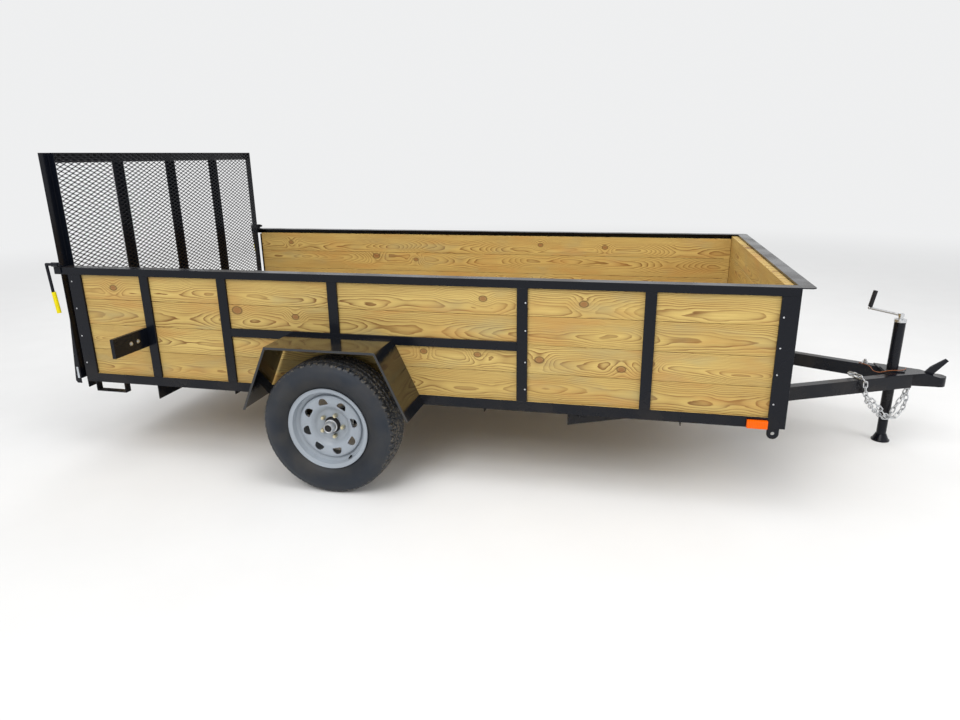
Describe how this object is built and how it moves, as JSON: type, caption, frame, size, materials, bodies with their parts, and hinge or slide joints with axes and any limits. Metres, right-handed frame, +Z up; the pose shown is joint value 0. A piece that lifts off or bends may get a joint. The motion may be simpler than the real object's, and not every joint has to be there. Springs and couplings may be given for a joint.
{
  "type": "utility trailer",
  "caption": "Steel utility trailer with pine board sides and floor, a mesh ramp gate at the rear, black fenders, and an A-frame tongue with ball coupler and crank jack.",
  "frame": {"origin": "bottom centre of the whole trailer, on the ground", "axes": "+X forward to the coupler, +Y to the trailer's left side, +Z up"},
  "size_m": [4.801, 2.528, 1.647],
  "materials": {
    "black_paint": "gloss, blue-black",
    "fender_paint": "high gloss",
    "pine": "planed pine, clear",
    "zinc": "zinc plated",
    "tyre_rubber": "matt black",
    "wheel_paint": "silver, satin",
    "yellow_vinyl": "dipped vinyl",
    "red_lens": "clear red",
    "amber_lens": "clear amber",
    "dark_plastic": "moulded, black"
  },
  "bodies": {
    "chassis": {"frame_side_rails": "black_paint", "frame_end_rails": "black_paint", "cross_members": "black_paint", "corner_posts": "black_paint", "side_posts": "black_paint", "front_posts": "black_paint", "top_rails": "black_paint", "top_rail_front": "black_paint", "middle_rails": "black_paint", "tongue_tubes": "black_paint", "coupler": "black_paint", "coupler_lever": "black_paint", "jack_tube": "black_paint", "leaf_springs": "black_paint", "axle_beam": "black_paint", "spring_hangers": "black_paint", "frame_hinges": "black_paint", "latch_sleeves": "black_paint", "latch_rods": "black_paint", "tail_lamp_boxes": "black_paint", "strap_loops": "black_paint", "tie_ears": "black_paint", "fender_left": "fender_paint", "fender_right": "fender_paint", "floor_planks": "pine", "side_boards_left": "pine", "side_boards_right": "pine", "front_boards": "pine", "corner_strips": "pine", "jack_crank": "zinc", "jack_head": "zinc", "spring_clamps": "zinc", "safety_chains": "zinc", "jack_grip": "dark_plastic", "lamp_wire": "dark_plastic", "latch_grips": "yellow_vinyl", "tail_lamps": "red_lens", "side_markers": "amber_lens"},
    "gate": {"gate_frame": "black_paint", "gate_bars": "black_paint", "gate_uprights": "black_paint", "gate_mesh": "black_paint", "gate_gussets": "black_paint", "gate_hinges": "black_paint"},
    "jack_leg": {"jack_leg": "black_paint", "jack_foot": "black_paint"},
    "wheel_right": {"tyre_right": "tyre_rubber", "rim_right": "wheel_paint", "hub_right": "zinc"},
    "wheel_left": {"tyre_left": "tyre_rubber", "rim_left": "wheel_paint", "hub_left": "zinc"}
  },
  "joints": [
    {"name": "gate_hinge", "type": "hinge", "parent": "chassis", "child": "gate", "pos_m": [-2.3345, 0, 0.405], "axis": [0, -1, 0], "range_deg": [0, 108.5]},
    {"name": "jack_slide", "type": "slide", "parent": "chassis", "child": "jack_leg", "axis": [0, 0, 1], "range_m": [-0.2, 0.085]},
    {"name": "wheel_right_spin", "type": "hinge", "parent": "chassis", "child": "wheel_right", "pos_m": [-0.7335, -1.15, 0.34], "axis": [0, 1, 0], "continuous": true},
    {"name": "wheel_left_spin", "type": "hinge", "parent": "chassis", "child": "wheel_left", "pos_m": [-0.7335, 1.15, 0.34], "axis": [0, 1, 0], "continuous": true}
  ]
}
